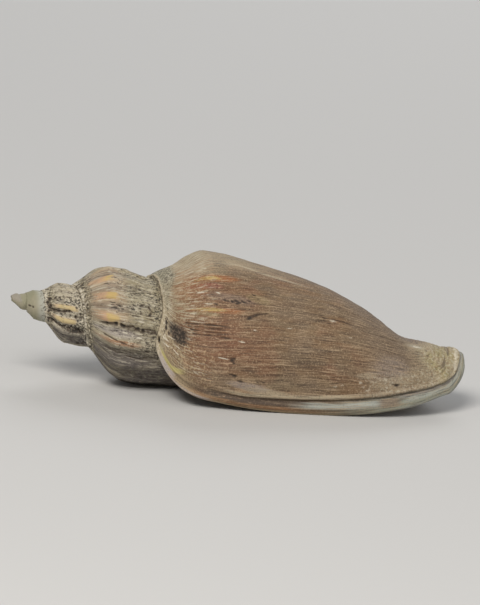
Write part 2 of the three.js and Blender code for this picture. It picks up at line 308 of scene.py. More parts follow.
# What time has done to the shell, besides the dirt: pits, cracks and scratches that hold dirt, and
# chips and dashes where white lime shows. Welts are raised lines, and the low ones are white hairs.
# Sizes are in millimetres; a height below 0 goes in.
PITS = [
    # turns, row, size along growth, size across it, height, stain
    (-0.169, 1.04, 0.35, 0.8, -0.25, 0.9), (-0.1735, 1.19, 0.3, 0.6, -0.2, 0.7),
    (-0.18, 1.34, 0.4, 0.6, -0.3, 1.0), (-0.1795, 1.43, 0.45, 0.5, -0.25, 1.0),
    (-0.1795, 1.59, 0.6, 0.6, -0.35, 1.2), (-0.1825, 1.71, 0.5, 0.7, -0.3, 1.2),
    (-0.1775, 1.73, 0.5, 0.5, -0.3, 1.1), (-0.18, 1.81, 0.6, 0.7, -0.35, 1.2),
    (-0.184, 1.93, 0.4, 0.6, -0.25, 1.0), (-0.1825, 1.99, 0.45, 0.6, -0.3, 1.1),
    (-0.1873, 2.18, 0.45, 0.7, -0.25, 0.9), (-0.196, 2.53, 0.5, 0.5, -0.25, 1.0),
    (-0.1915, 2.57, 0.3, 0.5, -0.2, 0.6), (-0.2056, 2.0, 0.3, 0.35, -0.25, 1.0),
    (-0.2028, 2.38, 0.3, 0.4, -0.25, 1.0), (-0.187, 0.95, 0.25, 0.9, -0.1, 0.5),
    (-0.179, 0.8, 0.25, 0.8, -0.1, 0.5), (-0.079, 1.56, 0.7, 0.6, -0.4, 1.1),
    (-0.0825, 1.62, 0.4, 0.7, -0.3, 1.0), (-0.075, 1.63, 0.4, 0.6, -0.3, 1.0),
    (-0.056, 1.55, 0.3, 1.0, -0.3, 0.8), (-0.0545, 1.66, 0.5, 0.9, -0.35, 1.0),
    (-0.0472, 1.84, 0.45, 1.1, -0.3, 0.9), (-0.0505, 2.33, 0.35, 0.7, -0.2, 0.7),
    (-0.052, 2.5, 0.4, 0.7, -0.25, 0.8), (-0.048, 2.56, 0.3, 0.6, -0.2, 0.6),
    (-0.055, 2.2, 0.3, 0.5, -0.15, 0.6), (-0.044, 2.42, 0.3, 0.6, -0.15, 0.6),
    (-0.0481, 6.75, 0.5, 1.0, -0.45, 1.0), (-0.051, 6.6, 0.3, 0.5, -0.2, 0.6),
    (-0.0854, 2.75, 0.25, 1.4, -0.15, 0.5), (-0.0779, 1.19, 0.2, 0.4, -0.2, 0.7),
    (-0.1406, 5.64, 0.4, 0.6, -0.2, 0.5), (-0.025, 0.03, 1.0, 0.9, -0.8, 1.2),
    (-0.043, 4.3, 0.4, 0.6, -0.2, 0.5), (-0.0785, 0.09, 0.8, 0.7, -0.4, 1.2),
    (-0.0918, 0.08, 0.9, 0.8, -0.4, 1.2), (-0.077, 0.16, 0.6, 0.6, -0.3, 1.0),
    (-0.064, 0.08, 0.4, 0.4, -0.2, 1.0), (-0.105, 0.09, 0.5, 0.5, -0.2, 1.0),
    (-3.0584, 0.46, 0.4, 0.4, -0.15, 1.1), (-3.0599, 0.85, 0.4, 0.4, -0.15, 1.1),
    (-2.1752, 0.28, 0.8, 0.7, -0.35, 1.0), (-2.1402, 0.17, 0.7, 0.5, -0.3, 1.0),
    (-2.1144, 0.32, 0.7, 0.8, -0.3, 1.0), (-2.0912, 0.26, 0.6, 0.6, -0.3, 1.0),
    (-2.06, 0.2, 0.5, 0.5, -0.25, 0.9), (-1.993, 0.22, 0.5, 0.5, -0.25, 0.9),
    (-2.075, 2.2, 0.7, 0.5, -0.25, 1.0), (-2.13, 2.35, 0.6, 0.5, -0.2, 0.8),
]
CHIPS = [
    # turns, row, size along growth, size across it, height, stain
    (-0.1904, 0.73, 0.3, 1.6, 0.04, 1.3), (-0.1913, 1.1, 0.32, 0.9, 0.05, 1.3),
    (-0.1678, 0.87, 0.22, 1.9, 0.04, 0.9), (-0.2495, 0.86, 0.25, 0.7, 0.05, 1.0),
    (-0.0795, 1.32, 0.2, 2.6, 0.05, 1.0), (-0.1117, 1.85, 0.24, 1.5, 0.04, 0.9),
    (-0.1359, 2.26, 0.24, 1.0, 0.04, 0.8), (-0.1725, 5.05, 0.9, 1.8, 0.15, 0.6),
    (-0.1406, 5.5, 0.4, 0.5, -0.06, 0.7), (-0.0545, 4.56, 0.7, 1.6, 0.14, 0.42),
    (-0.0508, 4.35, 0.5, 1.2, 0.1, 0.35), (-0.0563, 4.8, 0.5, 0.9, 0.12, 0.4),
    (-0.06, 5.42, 0.8, 0.9, 0.16, 0.55), (-0.052, 5.5, 0.9, 0.8, 0.14, 0.5),
    (-0.045, 5.62, 0.6, 0.8, 0.1, 0.5), (-0.055, 6.2, 0.7, 1.0, 0.12, 0.38),
    (-0.0463, 6.3, 0.8, 1.0, 0.12, 0.42), (-0.0385, 6.42, 0.6, 0.7, 0.12, 0.48),
    (-0.15, 3.4, 0.25, 1.6, 0.04, 0.7), (-0.057, 4.83, 0.5, 1.2, 0.0, 0.4),
    (-0.126, 9.2, 0.6, 2.6, 0.06, 0.9), (-0.037, 11.9, 1.1, 1.5, 0.25, 0.75),
    (-1.0735, 1.45, 0.4, 1.4, 0.06, 0.9), (-1.066, 2.15, 0.4, 1.4, 0.06, 0.9),
    (-1.115, 2.3, 0.5, 2.0, 0.06, 0.6),
]
CRACKS = [
    # half width at its two ends, height, and its points as turns and rows
    (0.46, 0.14, -0.4, ((-0.1531, 2.06), (-0.1588, 2.21), (-0.166, 2.44), (-0.1709, 2.68),
                        (-0.1735, 2.9))),
    (0.14, 0.26, -0.22, ((-0.1628, 4.02), (-0.1677, 4.35), (-0.174, 4.74), (-0.1815, 4.76))),
    (0.26, 0.14, -0.25, ((-0.179, 4.7), (-0.1768, 5.1), (-0.1726, 5.45), (-0.1682, 5.75),
                         (-0.164, 6.1))),
    (0.18, 0.18, -0.18, ((-0.168, 4.8), (-0.1672, 5.2), (-0.1678, 5.6))),
    (0.1, 0.1, -0.12, ((-0.0418, 4.04), (-0.0436, 5.13))),
    (0.16, 0.34, -0.35, ((-1.0761, 0.25), (-1.0882, 0.53), (-1.095, 1.01))),
    (0.5, 0.62, -0.55, ((-1.0915, 0.7), (-1.095, 1.01), (-1.0929, 1.63), (-1.0891, 2.39),
                        (-1.0894, 3.5))),
    (0.2, 0.3, -0.25, ((-1.127, 1.5), (-1.13, 2.1), (-1.127, 3.1))),
    (0.18, 0.4, -0.3, ((-1.055, 0.6), (-1.0335, 2.26), (-1.019, 2.92))),
    (0.2, 0.2, -0.2, ((-1.0072, 0.73), (-1.0, 1.6), (-1.003, 2.6))),
    (0.35, 0.4, -0.35, ((-2.0811, 0.35), (-2.093, 1.06), (-2.1065, 2.2))),
    (0.4, 0.6, -0.4, ((-2.002, 0.3), (-2.005, 0.68), (-2.0063, 1.64), (-2.0015, 3.0))),
    (0.5, 0.6, -0.4, ((-1.99, 1.5), (-1.99, 2.2), (-1.995, 2.9))),
    (0.3, 0.25, -0.25, ((-2.1726, 0.35), (-2.1792, 1.09), (-2.1888, 2.5))),
    (0.3, 0.45, -0.3, ((-1.87, 1.0), (-1.89, 1.9), (-1.915, 2.8))),
    (0.15, 0.15, -0.2, ((-0.15, 6.6), (-0.138, 7.6), (-0.128, 8.2))),
    (0.12, 0.12, -0.15, ((-0.07, 5.9), (-0.064, 6.4), (-0.066, 6.9))),
    (0.26, 0.24, -0.25, ((-0.127, 0.45), (-0.129, 0.73), (-0.1312, 1.02), (-0.133, 1.6))),
    (0.2, 0.24, -0.2, ((-0.1215, 0.5), (-0.124, 0.9), (-0.1262, 1.45))),
    (0.26, 0.2, -0.22, ((-0.1168, 0.55), (-0.1183, 0.93), (-0.1196, 1.35))),
    (0.2, 0.24, -0.2, ((-0.11, 0.6), (-0.113, 1.0), (-0.1135, 1.7))),
    (0.16, 0.16, -0.2, ((-0.059, 4.4), (-0.0605, 4.75), (-0.059, 5.05))),
    (0.16, 0.14, -0.2, ((-0.0645, 5.3), (-0.064, 5.6), (-0.056, 5.75))),
    (0.34, 0.3, -0.35, ((-1.135, 2.55), (-1.14, 2.79), (-1.152, 2.9), (-1.164, 2.79), (-1.169, 2.55),
                        (-1.164, 2.31), (-1.152, 2.2), (-1.14, 2.31), (-1.133, 2.5))),
]
WELTS = [
    # as for the cracks
    (0.22, 0.22, 0.26, ((-0.124, 0.42), (-0.1265, 0.71), (-0.129, 1.36))),
    (0.26, 0.22, 0.28, ((-0.119, 0.42), (-0.1212, 0.92), (-0.123, 1.5))),
    (0.2, 0.2, 0.24, ((-0.113, 0.52), (-0.1158, 0.82), (-0.1168, 1.4))),
    (0.2, 0.14, 0.1, ((-0.0513, 0.09), (-0.062, 0.18), (-0.0713, 0.31), (-0.071, 0.45))),
    (0.18, 0.14, 0.1, ((-0.06, 0.1), (-0.0735, 0.18), (-0.082, 0.32))),
    (0.18, 0.14, 0.1, ((-0.044, 0.12), (-0.0598, 0.27), (-0.058, 0.43))),
]


def metric(turn, row):
    """Millimetres for each turn and for each row, where a point lies."""
    by_turn = growth_surface(np.minimum(turn + 0.001, 0), row) - growth_surface(turn - 0.001, row)
    low_row, high_row = np.clip(row - 0.02, 0, 16), np.clip(row + 0.02, 0, 16)
    by_row = growth_surface(turn, high_row) - growth_surface(turn, low_row)
    turn_step = np.minimum(turn + 0.001, 0) - (turn - 0.001)
    row_step = high_row - low_row
    return np.linalg.norm(by_turn, axis=1) / turn_step, np.linalg.norm(by_row, axis=1) / row_step


# Stands for a distance where there is nothing near.
FAR_AWAY = 99.0


def along_line(turn, row, scale, points):
    """Each vertex's distance from a line drawn on the shell, and how far along the line it is."""
    nearest = np.full(len(turn), FAR_AWAY)
    share = np.zeros(len(turn))
    for i, (start, stop) in enumerate(zip(points, points[1:])):
        ax, ay = (turn - start[0]) * scale[0], (row - start[1]) * scale[1]
        bx, by = (stop[0] - start[0]) * scale[0], (stop[1] - start[1]) * scale[1]
        t = np.clip((ax * bx + ay * by) / (bx * bx + by * by), 0, 1)
        far = np.hypot(ax - t * bx, ay - t * by)
        share = np.where(far < nearest, (i + t) / (len(points) - 1), share)
        nearest = np.minimum(nearest, far)
    return nearest, share


def former_lip(turn, row):
    """The time at which the lip stood at a point, since the lines it left are bowed."""
    rows = (0, 0.3, 1, 2, 3, 4, 5, 6, 7, 8, 9, 10.5, 12)
    bow = (0.007, 0.007, 0, -0.012, -0.020, -0.021, -0.017, -0.008, 0.003, 0.015, 0.020, 0.012, 0)
    young = smooth_step(-0.9, -0.5, turn) * (1 - 0.6 * smooth_step(-0.09, -0.03, turn))
    return turn - young * np.interp(row, rows, bow)


def lip_groove(row):
    """Turns at which a shallow groove runs beside the lip."""
    rows = (0, 0.7, 1.3, 2, 3, 4, 5, 6, 7.2, 8.6, 10, 11, 12.3)
    turns = (-0.0280, -0.0270, -0.0230, -0.0220, -0.0265, -0.0290, -0.0305,
             -0.0295, -0.0310, -0.0260, -0.0290, -0.0240, -0.0190)
    return np.interp(row, rows, turns)


# How far from its own turn a mark and a line are looked for, how strongly they stain, and the height
# under which a welt is a white hair.
MARK_REACH = 0.03
MARK_SHARPNESS = 2.5
STAIN_SPREAD = 1.25
LINE_REACH = 0.06
HAIRLINE_DIRT = 0.25
DIRT_PER_WIDTH = 2.3
HAIR_WHITENESS = 1.2
HAIR_HEIGHT = 0.15


def worn_marks(turn, row, scale):
    """The height of the pits, chips, cracks and welts, and how dirty and how white they are."""
    height, dirt, white = np.zeros((3, len(turn)))
    for marks, stained in ((PITS, dirt), (CHIPS, white)):
        for at_turn, at_row, width, length, depth, stain in marks:
            near = np.flatnonzero(np.abs(turn - at_turn) < MARK_REACH)
            off_turn = (turn[near] - at_turn) * scale[0][near] / width
            off_row = (row[near] - at_row) * scale[1][near] / length
            mark = np.exp(-MARK_SHARPNESS * (off_turn**2 + off_row**2))
            height[near] += depth * mark
            stained[near] = np.maximum(stained[near], STAIN_SPREAD * stain * mark)
    for first, last, depth, points in CRACKS + WELTS:
        near = np.flatnonzero(np.abs(turn - points[0][0]) < LINE_REACH)
        far, share = along_line(turn[near], row[near], (scale[0][near], scale[1][near]), points)
        width = first + (last - first) * share
        mark = bell(far / width) * (1 - smooth_step(0.8, 1, share))
        # The spire's cracks are the more broken ones.
        torn = 0.35 if points[0][0] < -0.5 else 0
        mark *= 0.75 - 0.5 * torn + (0.5 + torn) * ripple(row[near] * 8, turn[near] * 90, 11)
        mark = np.clip(mark, 0, 1)
        height[near] += depth * mark
        if depth < 0:
            held = np.clip(HAIRLINE_DIRT + DIRT_PER_WIDTH * width, 0, 1.5)
            dirt[near] = np.maximum(dirt[near], mark * held)
        elif depth < HAIR_HEIGHT:
            white[near] = np.maximum(white[near], HAIR_WHITENESS * mark)
    return height, dirt, white


# How high or deep the surface is worked, in millimetres.
LINE_HEIGHT = 0.10
SWELL_HEIGHT = 0.09
BUMP_HEIGHT = 0.05
RIBBED_BUMP_GAIN = 0.09
RAMP_HOLLOW = 0.75
EATEN_DEPTH = 0.15
THREAD_HALF_WIDTH = 0.42
OLD_THREAD_GAIN = 0.10
THREAD_HEIGHT = 0.26
WRINKLE_HEIGHT = 0.17
CRUMB_HEIGHT = 0.14
END_RIM_HEIGHT = 0.32
END_FURROW_DEPTH = 0.15
BEAD_HEIGHT = 0.25
LEDGE_DEPTH = 0.30
GROOVE_DEPTH = 0.36
CREST_HEIGHT = 0.22
LIP_LINE_HEIGHT = 0.05
ROLL_HEIGHT = 0.55
ROLL_FURROW_DEPTH = 0.22


def relief(turn, row):
    """How far the surface stands out besides the ribs, and how dirty and how white it is."""
    scale = metric(turn, row)
    girth = 2 * np.pi * np.exp(curve_through(LOG_STAGES, turn))[3]
    laid = 2 * np.pi * LIP_RADIUS / GROWTH_RATE * np.exp(GROWTH_RATE * former_lip(turn, row))
    # Growth lines, swells and bumps lie on all but the smooth tip, and a hollow in the last ramp.
    worn = smooth_step(-2.85, -2.6, turn)
    ribbed = worn * (1 - smooth_step(-0.95, -0.75, turn))
    lines = 0.5 * ripple(laid / 0.75, row * 0.30, 1) + 0.35 * ripple(laid / 0.4, row * 0.45, 2)
    swells = ripple(laid / 5.2, row * 0.35, 3) + 0.6 * ripple(laid / 2.1, row * 0.3, 4)
    bumps = ripple(laid / 1.1, row * 2.6, 5)
    bump_height = BUMP_HEIGHT + RIBBED_BUMP_GAIN * ribbed
    height = worn * (LINE_HEIGHT * lines + SWELL_HEIGHT * swells + bump_height * bumps)
    hollow = between(turn, -0.65, -0.48, -0.32, -0.20)
    height -= RAMP_HOLLOW * bell((row - 0.5) / 0.24) * hollow

    # On the ribbed whorls the lime is eaten into small dirty hollows along the growth lines.
    eaten = ripple(laid / 0.62, row * 2.4, 6) + 0.4 * ripple(laid / 2, row * 0.8, 7)
    eaten = ribbed * smooth_step(0.25, 0.65, eaten) * (1 - 0.7 * rib_crest(turn, row))
    dirt = 0.30 * eaten
    height -= EATEN_DEPTH * eaten

    # A pale thread follows the suture, knobbly and thicker on the spire.
    from_suture = row * scale[1]
    thick = THREAD_HALF_WIDTH + OLD_THREAD_GAIN * smooth_step(-0.7, -0.95, turn)
    thread = bell((from_suture - thick) / thick) * smooth_step(-2.62, -2.5, turn)
    thread *= (1 - smooth_step(-0.02, 0, turn)) * (0.75 + 0.4 * ripple(laid / 0.8, row * 0, 8))
    thread *= 0.7 + 0.5 * ripple(laid / 0.5, from_suture / 0.5, 14)
    height += THREAD_HEIGHT * thread * np.clip(girth / 110, 0.4, 1)

    # Towards the end of the canal the lime is crumbled and wrinkled.
    crumbled = smooth_step(7.9, 9.6, row) * smooth_step(-0.150, -0.105, turn)
    crumbled *= 1 - smooth_step(-0.045, -0.03, turn)
    wrinkle = 1 - 2.2 * np.abs(ripple(laid / 2.3 + 0.3 * row, row * 0.75, 9))
    crumb = ripple(laid / 0.8, row * 2.6, 10)
    height += crumbled * (WRINKLE_HEIGHT * wrinkle + CRUMB_HEIGHT * crumb)
    dirt = np.maximum(dirt, crumbled * smooth_step(0.2, 0.8, -crumb) * 0.4)
    rim = bell((turn + 0.032) / 0.010) * between(row, 10.5, 11.3, 13.2, 14)
    end_furrow = bell((turn + 0.017) / 0.004) * smooth_step(11, 11.5, row)
    height += END_RIM_HEIGHT * rim - END_FURROW_DEPTH * end_furrow
    white = 0.65 * rim

    mark_height, mark_dirt, mark_white = worn_marks(turn, row, scale)
    height += mark_height
    dirt = np.maximum(dirt, mark_dirt)
    white = np.maximum(white, mark_white)

    # The last millimetres laid down stand back behind a groove and a low ridge, and swell to a bead.
    groove_at = lip_groove(row)
    banded = between(row, 0.7, 1.7, 10.8, 12.6) * (turn > -0.06)
    share = np.clip(1 - turn / groove_at, 0, 1)
    bead = BEAD_HEIGHT * np.sin(np.pi * np.clip((share - 0.28) / 0.72, 0, 1)) ** 0.8
    ledge = -LEDGE_DEPTH * between(share, 0, 0.08, 0.2, 0.42)
    groove = bell((turn - groove_at - 0.001) / 0.0022) * smooth_step(1.4, 2.8, row)
    groove *= (1 - smooth_step(10.2, 10.9, row)) * (1 - 0.5 * smooth_step(6.5, 8.5, row))
    crest = bell((turn - groove_at + 0.0050) / 0.0038) * (1 - smooth_step(9.8, 10.8, row))
    fine_lines = LIP_LINE_HEIGHT * ripple(laid / 0.5, row * 0.6, 13)
    height += banded * (bead + ledge - GROOVE_DEPTH * groove + CREST_HEIGHT * crest + fine_lines)

    # Where the lip hooks back to the suture, its edge is a thick white roll with a furrow behind it.
    hooked = between(row, 0.0, 0.06, 0.55, 1.0)
    from_edge = -turn * scale[0]
    roll = hooked * bell((from_edge - 0.5) / 0.8)
    height += ROLL_HEIGHT * roll - ROLL_FURROW_DEPTH * hooked * bell((from_edge - 2.0) / 0.6)
    white = np.maximum(white, 0.7 * hooked * (1 - smooth_step(0.2, 0.5, from_edge)))
    return height, np.clip(dirt, 0, 1), np.clip(white, 0, 1)


def growth_places(wall, turns, rows):
    """The turn and row that each of the slab's vertices stands for, and 1 where it is outside."""
    flat = np.array([v.co for v in wall.verts])
    turn = np.interp(flat[:, 0], np.linspace(0, 1, len(turns)), turns)
    row = np.interp(flat[:, 1], np.linspace(0, 1, len(rows)), rows)
    return turn, row, flat[:, 2]


def cut_finer(wall, turns, rows):
    """Halves the slab's edges beside the worn marks and the groove, where detail is smallest."""
    turn, row, outside = growth_places(wall, turns, rows)
    row = np.clip(row, 0, 16)
    height, dirt, white = worn_marks(turn, row, metric(turn, row))
    marked = (np.abs(height) > 0.012) | (dirt > 0.05) | (white > 0.05)
    marked |= (np.abs(turn - lip_groove(row)) < 0.003) & (row > 0.8) & (row < 12.5)
    marked = marked & (outside > 0.5)
    wall.verts.index_update()
    edges = [e for e in wall.edges if marked[e.verts[0].index] and marked[e.verts[1].index]]
    bmesh.ops.subdivide_edges(wall, edges=edges, cuts=1, use_grid_fill=True)


def wound(wall, turns, rows, is_open):
    """The slab's vertices in their places on the shell, and its marks on the corners."""
    cut_finer(wall, turns, rows)
    turn, row, outside = growth_places(wall, turns, rows)
    mesh = bpy.data.meshes.new("wall")
    wall.to_mesh(mesh)
    wall.free()
    held_row = np.clip(row, 0, 16)
    normal = growth_normal(turn, held_row)
    points = growth_surface(turn, held_row)
    stands_out, dirt, white = relief(turn, held_row)
    inset = SEAM * (1 - smooth_step(turns[0], turns[0] + 0.08, turn))
    if is_open:
        inside_edge = np.clip(-turn * 2 * np.pi * MEAN_LIP_RADIUS / (WALL / 2), 0, 1)
        rounding = WALL / 2 * (1 - np.sqrt(1 - (1 - inside_edge) ** 2))
        outer = points + normal * (stands_out * (1 - rounding / WALL) - inset - rounding)[:, None]
        inner = points - normal * (WALL - rounding)[:, None]
        beyond = np.maximum(-row, 0) + np.maximum(row - 16, 0)
        outer, inner = sunk(outer, FLANGE * beyond), sunk(inner, FLANGE * beyond)
    else:
        outer = sunk(points + normal * stands_out[:, None], inset)
        inner = sunk(outer, np.hypot(outer[:, 1], outer[:, 2]) - AXIS_RADIUS)
    placed = inner + (outer - inner) * outside[:, None]
    mesh.vertices.foreach_set("co", placed.ravel())
    corners = np.empty(len(mesh.loops), int)
    mesh.loops.foreach_get("vertex_index", corners)
    # 0 in the groove and 1 at the lip.
    to_lip = np.maximum(1 - turn / lip_groove(held_row), -3)
    from_suture = held_row * metric(turn, held_row)[1]
    shown = outside if is_open else np.ones_like(outside)
    next_suture = np.exp(curve_through(LOG_STAGES, np.minimum(turn + 1, 0)))[0]
    to_next = np.where(turn < -1, next_suture - points[:, 0], FAR_AWAY)
    # Only the first value of the last map is read.
    for name, values in (
        ("growth", (turn, held_row)), ("marks", (shown, dirt)),
        ("lime", (white, former_lip(turn, held_row))), ("edges", (to_lip, from_suture)),
        ("beside", (to_next, from_suture)),
    ):
        layer = mesh.uv_layers.new(name=name)
        layer.uv.foreach_set("vector", np.column_stack(values)[corners].ravel())
    mesh.update()
    return mesh


def spaced(*spans):
    """Values from one mark to the next, with each span's own number of steps."""
    values = [spans[0][0]]
    for start, end, steps in spans:
        values += list(np.linspace(start, end, steps + 1)[1:])
    return values


# The spire's whorls are full, as sediment fills a fossil's, and each stretch of about half a turn
# runs into the next. The last whorl is a wall round the hollow, and it is the finest.
STRETCHES = [
    # from, to, steps per turn, rows on the ramp, rows on the side
    (-4.4, -3.76, 90, 5, 9),
    (-3.81, -3.26, 90, 5, 9),
    (-3.31, -2.76, 110, 6, 12),
    (-2.81, -2.26, 200, 12, 22),
    (-2.31, -1.76, 220, 14, 26),
    (-1.81, -1.26, 320, 18, 32),
    (-1.31, -0.72, 350, 20, 36),
]
walls = []
for start, end, per_turn, ramp_rows, side_rows in STRETCHES:
    rows = spaced((0, 0.15, 5), (0.15, 1, ramp_rows - 3), (1, 4, side_rows), (4, 12, 7))
    steps = round((end - start) * per_turn)
    walls.append(wound(flat_wall(steps, len(rows) - 1, 1), [start, end], rows, False))
last_turns = spaced((-0.76, -0.36, 18), (-0.36, -0.012, 60), (-0.012, 0, 5))
last_rows = spaced((-1, 0, 1), (0, 0.1, 2), (0.1, 1, 8), (1, 12, 24), (12, 16, 3), (16, 17, 1))
last_wall = flat_wall(len(last_turns) - 1, len(last_rows) - 1, 4)
walls.append(wound(last_wall, last_turns, last_rows, True))

# The pillar that the whorls grew round. It shows in the opening, where three slanting folds wind
# round it, and it leans towards the canal's edge at its end.
PILLAR_PROFILE = np.array([
    # along the axis, out from it
    (0.05, 0.25), (0.3, 0.5), (0.8, 0.8), (2, 1.3), (3.2, 1.9), (5, 2.0), (8, 2.2), (30, 4),
    (60, 5.4), (82, 6), (95, 5.5), (103, 4.5), (108, 3.4), (111.5, 2), (113, 0.4),
])
BARE_UNTIL = 12.0
FOLD_STARTS = (70.2, 75.1, 80.4)
FOLD_PITCH = 2.15
FOLD_HEIGHT = 1.1
FOLD_WIDTH = 0.035
LEAN = 4.0
LEAN_FROM = 88
LEAN_TO = 114
LEAN_ANGLE = -185
LEAN_TWIST = 4.45

ball = bmesh.new()
bmesh.ops.create_uvsphere(ball, u_segments=84, v_segments=70, radius=1)
pillar = bpy.data.meshes.new("pillar")
ball.to_mesh(pillar)
ball.free()
round_points = np.array([v.co for v in pillar.vertices])
from_end = 1 - np.arccos(np.clip(round_points[:, 2], -1, 1)) / np.pi
around = np.arctan2(round_points[:, 1], round_points[:, 0])
along = PILLAR_PROFILE[0, 0] + np.ptp(PILLAR_PROFILE[:, 0]) * from_end**1.3
folds = np.zeros(len(along))
for start in FOLD_STARTS:
    phase = np.log(along / start) / math.log(FOLD_PITCH) - around / (2 * np.pi)
    folds += bell((phase - np.round(phase)) / FOLD_WIDTH)
folds *= between(along, 45, 60, 98, 108)
out = curve_through(PILLAR_PROFILE, along)[0] + FOLD_HEIGHT * folds
out[np.abs(round_points[:, 2]) > 0.99999] = 0
lean = LEAN * smooth_step(LEAN_FROM, LEAN_TO, along)
lean_angle = np.radians(LEAN_ANGLE - LEAN_TWIST * (LEAN_TO - along))
pillar_points = np.column_stack((
    along,
    -out * np.sin(around) - lean * np.sin(lean_angle),
    out * np.cos(around) + lean * np.cos(lean_angle),
))
pillar.vertices.foreach_set("co", pillar_points.ravel())
bare = along[[loop.vertex_index for loop in pillar.loops]] < BARE_UNTIL
for name, value in (
    ("growth", (-4, 2)), ("marks", (1, 0)), ("lime", (0, -4)), ("edges", (-3, 0)), ("beside", (9, 0)),
):
    layer = pillar.uv_layers.new(name=name)
    layer.uv.foreach_set("vector", np.outer(bare, value).astype(float).ravel())

# The whorls and the pillar are one piece of lime, so they are joined into one skin. Then the joins
# are softened, and the shell is laid on its opening and worn flat where it touches the ground.
REST_ROLL = math.radians(117.2)
REST_PITCH = math.radians(7.4)
REST_PLACE = (-59.9039, 3.2431, 20.8847)
SEAM_SOFTENING = 3

shell = bpy.data.objects.new("shell_piece", pillar)
bpy.context.scene.collection.objects.link(shell)
holders = []
for i, wall in enumerate(walls):
    holder = bpy.data.objects.new(f"whorl_{i}", wall)
    bpy.context.scene.collection.objects.link(holder)
    holders.append(holder)
    join = shell.modifiers.new(f"join_{i}", "BOOLEAN")
    join.operation = "UNION"
    join.solver = "MANIFOLD"
    join.object = holder
skin_mesh = bpy.data.meshes.new_from_object(shell.evaluated_get(bpy.context.evaluated_depsgraph_get()))
shell.modifiers.clear()
for holder in holders:
    bpy.data.objects.remove(holder)

skin = bmesh.new()
skin.from_mesh(skin_mesh)
growth_layer = skin.loops.layers.uv["growth"]


def on_seam(vert):
    """Whether the whorls of two different times meet at a vertex."""
    times = [corner[growth_layer].uv.x for corner in vert.link_loops]
    return max(times) - min(times) > 0.3


seam = [v for v in skin.verts if v.link_loops and on_seam(v)]
near_seam = {v for s in seam for e in s.link_edges for v in e.verts}
for _ in range(SEAM_SOFTENING):
    bmesh.ops.smooth_vert(skin, verts=list(near_seam), factor=0.5, use_axis_x=True, use_axis_y=True,
                          use_axis_z=True)

rest = (Matrix.Rotation(REST_PITCH, 4, "Y") @ Matrix.Rotation(REST_ROLL, 4, "X"))
bmesh.ops.transform(skin, matrix=Matrix.Translation(REST_PLACE) @ rest, verts=skin.verts)
worn = bmesh.ops.bisect_plane(
    skin, geom=skin.verts[:] + skin.edges[:] + skin.faces[:], plane_co=(0, 0, 0), plane_no=(0, 0, -1),
    clear_outer=True,
)["geom_cut"]
bmesh.ops.holes_fill(skin, edges=[e for e in worn if isinstance(e, bmesh.types.BMEdge)])
bmesh.ops.scale(skin, vec=(MM, MM, MM), verts=skin.verts)
for face in skin.faces:
    face.smooth = True
skin.to_mesh(skin_mesh)
skin.free()
shell.data = skin_mesh

# The shell's lime is matt and chalky. Its colour follows its growth: fine lines along each former
# lip, brown on the last whorl, grey with dirt between the ribs of the spire, bare at the tip.
TIP_GREY = (0.27, 0.255, 0.165)
TIP_SAND = (0.33, 0.295, 0.205)
TIP_LILAC = (0.33, 0.285, 0.275)
TIP_BLUE = (0.45, 0.45, 0.4)
RIB_LIME = (0.275, 0.232, 0.148)
RIB_CHALK = (0.56, 0.505, 0.385)
RIB_OCHRE = (0.54, 0.385, 0.125)
RIB_PINK = (0.52, 0.33, 0.2)
RIB_GREY = (0.094, 0.079, 0.074)
DIRT = (0.022, 0.017, 0.012)
BROWN = (0.19, 0.112, 0.054)
BROWN_GREY = (0.185, 0.124, 0.069)
BROWN_RED = (0.198, 0.082, 0.04)
BROWN_DARK = (0.05, 0.028, 0.016)
MAUVE = (0.178, 0.13, 0.089)
LINE_PALE = (0.405, 0.295, 0.18)
SAND = (0.33, 0.26, 0.16)
DOT_SAND = (0.48, 0.35, 0.19)
CREAM = (0.38, 0.31, 0.195)
YELLOW = (0.345, 0.295, 0.145)
HOOK_YELLOW = (0.56, 0.49, 0.19)
ORANGE = (0.345, 0.128, 0.04)
CRIMSON = (0.24, 0.065, 0.045)
CREST_PALE = (0.5, 0.42, 0.29)
WHITE = (0.62, 0.56, 0.44)
BLUE_WHITE = (0.36, 0.375, 0.33)
LILAC = (0.23, 0.21, 0.19)
LILAC_WHITE = (0.39, 0.34, 0.31)
LIP_BROWN = (0.15, 0.096, 0.05)
LIP_GREEN = (0.255, 0.26, 0.2)
PLUM = (0.085, 0.058, 0.042)

fossil = bpy.data.materials.new("fossil_lime")
fossil.use_nodes = True
tree = fossil.node_tree
lime = tree.nodes["Principled BSDF"]


def put(kind, inputs=(), **settings):
    """Adds a node, sets it up, and fills its inputs with values or with other nodes' outputs."""
    made = tree.nodes.new(kind)
    for name, value in settings.items():
        setattr(made, name, value)
    for name, value in dict(inputs).items():
        if isinstance(value, bpy.types.NodeSocket):
            tree.links.new(value, made.inputs[name])
        else:
            made.inputs[name].default_value = value
    return made


def calc(operation, a, b=0.0):
    return put("ShaderNodeMath", {0: a, 1: b}, operation=operation).outputs[0]


def plus(a, b):
    return calc("ADD", a, b)


def minus(a, b):
    return calc("SUBTRACT", a, b)


def either(a, b):
    """The larger of two masks."""
    return calc("MAXIMUM", a, b)


def rise(value, start, end):
    """0 at start, 1 at end and smooth between them, whichever of the two is larger."""
    made = put("ShaderNodeMapRange", {0: value, 1: start, 2: end, 3: 0.0, 4: 1.0},
               interpolation_type="SMOOTHSTEP", clamp=True)
    return made.outputs[0]


def both(*masks):
    """The masks and numbers multiplied."""
    made = masks[0]
    for mask in masks[1:]:
        made = calc("MULTIPLY", made, mask)
    return made


def band(value, start, full, still_full, end):
    """0 at start, 1 from full to still_full, and 0 again at end."""
    return both(rise(value, start, full), rise(value, end, still_full))


